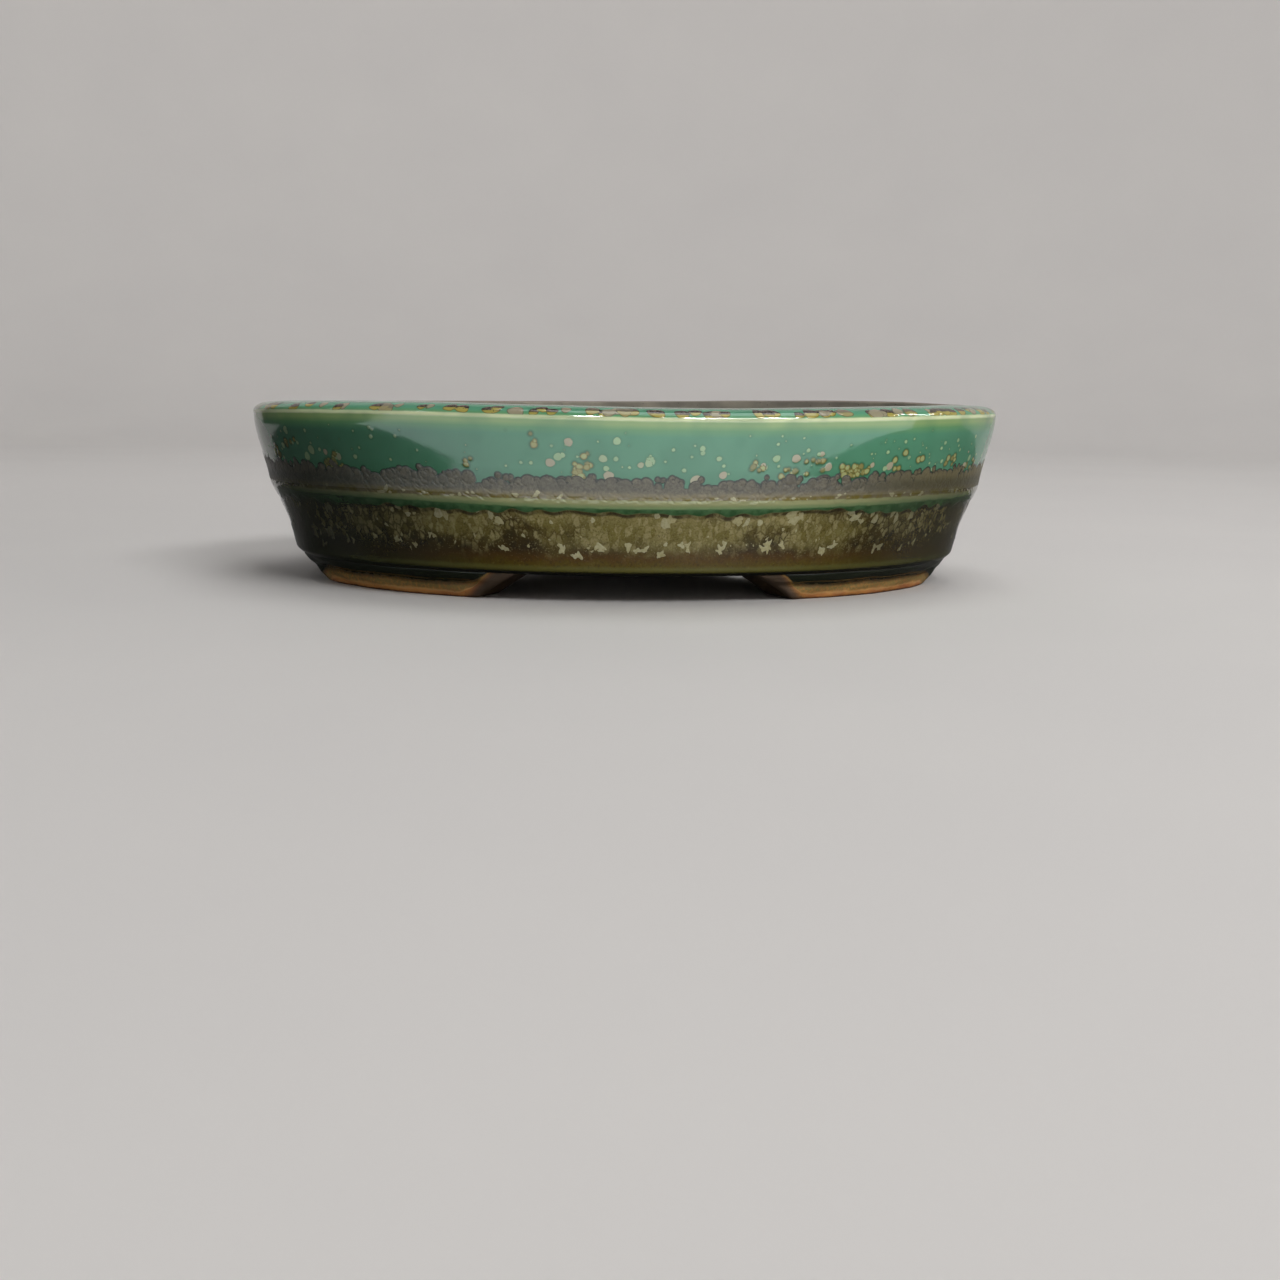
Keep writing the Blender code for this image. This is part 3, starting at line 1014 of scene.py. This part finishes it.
    # Bare clay inside and underneath.
    clay_colour, clay_height = bare_clay(n, place, CLAY_DARK, CLAY_GREY)
    bare = n.step(shifted, -8.7, -9.1)
    sole_run = run_at(UNDERSIDE + 0.45)
    bare = n.math("MAXIMUM", bare, n.step(run_here, sole_run + 0.9, sole_run + 1.3))
    colour = n.mix(bare, colour, clay_colour)
    n.set("Base Color", colour)

    matte = n.times(in_band, n.step(run_here, run_at(26.0), run_at(26.6)))
    roughness = n.math("MULTIPLY_ADD", matte, 0.3, 0.09)
    low_flake = n.times(is_flake, below)
    roughness = n.math("MULTIPLY_ADD", low_flake, 0.12, roughness)
    roughness = n.math("MAXIMUM", roughness, n.times(bare, 0.82))
    n.set("Roughness", roughness)
    n.set("IOR", 1.5)

    peel = n.times(n.noise(place, 0.5, 2.0), 0.012)
    crust = n.times(n.times(grain, in_band), 0.05)
    crust = n.times(crust, n.step(run_here, run_at(26.0), run_at(26.6)))
    flake_height = n.times(n.times(is_small, below), 0.02)
    total = n.plus(n.plus(peel, crust), flake_height)
    total = n.plus(total, n.times(bare, clay_height))
    n.bump(total)
    return n.material


PIECES = (
    (rim, "rim_lip", "rim_glaze"),
    (upper, "upper_wall", "turquoise_glaze"),
    (waist, "waist_moulding", "moulding_glaze"),
    (lower, "lower_wall", "olive_glaze"),
)
for piece, node, slot in PIECES:
    piece.data.materials.append(glaze(slot + "_look"))
    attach(piece, "root")
    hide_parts(node)

FOOT_CLAY = srgb(208, 140, 62)
FOOT_CLAY_DARK = srgb(172, 102, 46)
FOOT_THIN = srgb(136, 114, 52)
FOOT_HIGHLIGHT = srgb(218, 176, 108)
FOOT_BURNT_AND_SHADOW = srgb(74, 44, 22)
FOOT_INSIDE_SHADE = srgb(80, 60, 38)
GROOVE = srgb(30, 36, 20)


def foot_look():
    """Bare clay with a thin glaze edge, and pooled dark glaze in the neck above it."""
    n = Nodes("foot_clay_look")
    place = n.millimetres()
    glazed, outward, above = n.facts("glazed")
    rough_edge = n.math("MULTIPLY_ADD", n.noise(place, 0.5, 4.0), 0.9, -0.45)
    depth = n.plus(glazed, rough_edge)
    depth = n.plus(depth, n.step(outward, 0.8, 0.3, 0.0, -6.0))
    clay, clay_height = bare_clay(n, place, FOOT_CLAY, FOOT_CLAY_DARK)
    thin = n.mix(n.step(n.noise(place, 1.4, 3.0), 0.4, 0.7, 0.0, 0.6), FOOT_THIN, clay)
    # Painted shade: faces that don't face outward, such as the feet's inner ends, are darker.
    clay = n.mix(n.step(outward, 1.0, 0.25), clay, FOOT_INSIDE_SHADE)
    # Painted contact shadow: a dark line along the bottom edge of the feet, strongest on their outer
    # faces.
    contact_shadow = n.step(n.plus(above, rough_edge), 0.75, 0.1, 0.0, 0.85)
    clay = n.mix(n.times(contact_shadow, n.step(outward, 0.1, 0.6, 0.25, 1.0)), clay, FOOT_BURNT_AND_SHADOW)
    colour = n.mix(n.step(depth, -2.9, -1.7), clay, thin)
    # Painted highlight along the bulge of each foot's outer face.
    from_highlight = n.math("ABSOLUTE", n.plus(depth, 2.5))
    highlight_share = n.step(from_highlight, 0.45, 0.1, 0.0, 0.35)
    highlight_share = n.times(highlight_share, n.step(outward, 0.4, 0.9))
    colour = n.mix(highlight_share, colour, FOOT_HIGHLIGHT)
    colour = n.mix(n.step(depth, -1.1, -0.5, 0.0, 0.5), colour, FOOT_BURNT_AND_SHADOW)
    colour = n.mix(n.step(depth, -0.6, 0.4), colour, GROOVE)
    n.set("Base Color", colour)
    glassy = n.step(depth, -0.6, 0.4)
    n.set("Roughness", n.math("MULTIPLY_ADD", glassy, -0.62, 0.78))
    n.bump(n.times(clay_height, n.step(depth, 0.2, -0.6, 0.15, 1.0)))
    return n.material


def floor_look():
    """Plain bare clay."""
    n = Nodes("dark_clay_look")
    place = n.millimetres()
    colour, height_mm = bare_clay(n, place, CLAY_DARK, CLAY_GREY)
    n.set("Base Color", colour)
    n.set("Roughness", 0.85)
    n.bump(height_mm)
    return n.material


foot_material = foot_look()
for foot in feet:
    foot.data.materials.append(foot_material)
slab.data.materials.append(floor_look())

# ---------------------------------------------------------------- studio


def lathe(name, profile, sides=96):
    """A surface of revolution from (radius, height) points, for the floor and its sweep."""
    angles = 2 * np.pi * np.arange(sides) / sides
    rings = [
        np.stack([r * np.cos(angles), r * np.sin(angles), np.full(sides, h)], axis=1)
        for r, h in profile
    ]
    places = np.concatenate(rings)
    ring = np.arange(len(places)).reshape(len(profile), sides)
    beside = np.roll(ring, -1, axis=1)
    faces = np.stack([ring[:-1], beside[:-1], beside[1:], ring[1:]], axis=-1).reshape(-1, 4)
    return add_mesh(name, places, faces[:, ::-1])


FLOOR_RADIUS = 900.0
SWEEP_RADIUS = 500.0
SWEEP_STEPS = 24
WALL_TOP = 1500.0
PAINT_DARK = srgb(206, 203, 201)
PAINT_LIGHT = srgb(212, 209, 206)
profile = [(0.5, 0.0), (200.0, 0.0), (FLOOR_RADIUS, 0.0)]
for step in range(1, SWEEP_STEPS + 1):
    turn = math.radians(90) * step / SWEEP_STEPS
    across = FLOOR_RADIUS + SWEEP_RADIUS * math.sin(turn)
    profile.append((across, SWEEP_RADIUS * (1 - math.cos(turn))))
profile.append((FLOOR_RADIUS + SWEEP_RADIUS, WALL_TOP))
floor = lathe("studio_floor", profile)
n = Nodes("studio_paint")
n.set("Base Color", n.mix(n.noise(n.millimetres(), 0.01), PAINT_DARK, PAINT_LIGHT))
n.set("Roughness", 0.75)
floor.data.materials.append(n.material)

CAMERA_PLACE = Vector((-22.5, -443.6, 52.5)) * MM
CAMERA_YAW = -0.0603
CAMERA_PITCH = math.radians(90 - 9.1)
CAMERA_ROLL = 0.0139
LENS = 45.34

camera = bpy.data.objects.new("camera", bpy.data.cameras.new("camera"))
bpy.context.scene.collection.objects.link(camera)
camera.data.lens = LENS
camera.data.sensor_width = 36.0
camera.data.clip_start = 0.01
turn = (
    Matrix.Rotation(CAMERA_YAW, 4, "Z")
    @ Matrix.Rotation(CAMERA_PITCH, 4, "X")
    @ Matrix.Rotation(CAMERA_ROLL, 4, "Z")
)
camera.matrix_world = Matrix.Translation(CAMERA_PLACE) @ turn
bpy.context.scene.camera = camera


def lamp(name, place, size, radiance, aim=(0, 0, 0), only_glints=False):
    """A soft oblong lamp. only_glints: it shows in glossy surfaces, and lights no matt one."""
    data = bpy.data.lights.new(name, "AREA")
    data.shape = "RECTANGLE"
    data.size, data.size_y = size
    data.energy = radiance * math.pi * size[0] * size[1]
    made = bpy.data.objects.new(name, data)
    made.location = Vector(place)
    made.rotation_euler = (Vector(aim) - Vector(place)).to_track_quat("-Z", "Y").to_euler()
    made.visible_diffuse = not only_glints
    bpy.context.scene.collection.objects.link(made)
    return made


# Lamps that make the glints, as (name, degrees round from the front, width in metres).
GLINTS = (
    ("left", -95, 0.015),
    ("front_left", -61, 0.018),
    ("front", -12, 0.03),
    ("front_beside", -9, 0.04),
    ("front_right", 18, 0.09),
    ("front_right_beside", 24, 0.02),
    ("right", 37, 0.02),
    ("right_beside", 41, 0.03),
    ("far_right", 95, 0.04),
)
GLINT_RADIUS = 0.9
GLINT_HEIGHT = 0.66
GLINT_DEPTH = 0.22
GLINT_RADIANCE = 90.0
for name, azimuth, width in GLINTS:
    turn = math.radians(azimuth)
    place = (GLINT_RADIUS * math.sin(turn), -GLINT_RADIUS * math.cos(turn), GLINT_HEIGHT)
    lamp(f"lamp_{name}", place, (width, GLINT_DEPTH), GLINT_RADIANCE, only_glints=True)
WINDOW = {"place": (0.70, -1.20, 0.90), "size": (0.9, 0.7), "radiance": 13.6}
OVERHEAD = {"place": (0.25, 0.1, 1.35), "size": (1.0, 0.9), "radiance": 2.3}
BACKDROP_LAMP = {"place": (0.0, 0.45, 1.3), "size": (1.6, 0.3), "radiance": 1.7}
lamp("window", **WINDOW)
lamp("overhead", **OVERHEAD)
lamp("backdrop_lamp", **BACKDROP_LAMP, aim=(0.0, 1.4, 0.8))

# Cards, in millimetres, that only reflections and bounce light meet: the camera sees none.
FLAG_LEVEL = 0.3
FLAG_TOP = 420
FLAG_COLOUR = srgb(60, 60, 58)
BRIGHT_LEVEL = 0.6
BRIGHT_COLOUR = (0.88, 1.0, 1.04, 1.0)
BRIGHT_GLOW = 2.0


def lying(front, back, level):
    """Corners of a level card between its front and back line, each as (left, right, y)."""
    places = ((front[0], front[2]), (front[1], front[2]), (back[1], back[2]), (back[0], back[2]))
    return [(x, y, level) for x, y in places]


def standing(start, end):
    """Corners of a card that stands on the line between two places on the floor."""
    return [(*start, FLAG_LEVEL), (*end, FLAG_LEVEL), (*end, FLAG_TOP), (*start, FLAG_TOP)]


def add_card(name, corners, glow=0.0):
    """A dark card, or with a glow a bright one that is only seen in reflections."""
    card = add_mesh(name, np.array(corners), np.array([[0, 1, 2, 3]]))
    card.visible_camera = False
    card.visible_shadow = False
    card.visible_diffuse = glow == 0
    n = Nodes(name + "_look")
    n.set("Base Color", FLAG_COLOUR)
    n.set("Roughness", 0.5)
    n.set("Emission Color", BRIGHT_COLOUR)
    n.set("Emission Strength", glow)
    clear = n.node("BsdfTransparent")
    sides = n.node("MixShader", {0: n.node("NewGeometry").outputs["Backfacing"]})
    n.plug(sides.inputs[1], n.shader.outputs[0])
    n.plug(sides.inputs[2], clear.outputs[0])
    n.plug(n.tree.nodes["Material Output"].inputs["Surface"], sides.outputs[0])
    card.data.materials.append(n.material)


under_pot = lying((-600, 600, -100), (-600, 600, 86), FLAG_LEVEL)
left_floor = lying((-1000, -90, -800), (-1000, -90, -100), FLAG_LEVEL)
before_pot = lying((-700, 700, -1300), (-420, 420, -101), BRIGHT_LEVEL)
add_card("studio_flag", under_pot)
add_card("studio_flag_left", standing((-420, -560), (-260, -50)))
add_card("studio_flag_left_floor", left_floor)
add_card("studio_flag_left_back", standing((-260, -50), (-330, 250)))
add_card("studio_bright_card", before_pot, glow=BRIGHT_GLOW)

AIR_COLOUR = (0.93, 0.95, 1.0, 1.0)
AIR_STRENGTH = 0.10
world = bpy.data.worlds.new("studio_air")
bpy.context.scene.world = world
world.use_nodes = True
background = world.node_tree.nodes["Background"]
background.inputs["Color"].default_value = AIR_COLOUR
background.inputs["Strength"].default_value = AIR_STRENGTH
bpy.context.scene.view_settings.view_transform = "Standard"
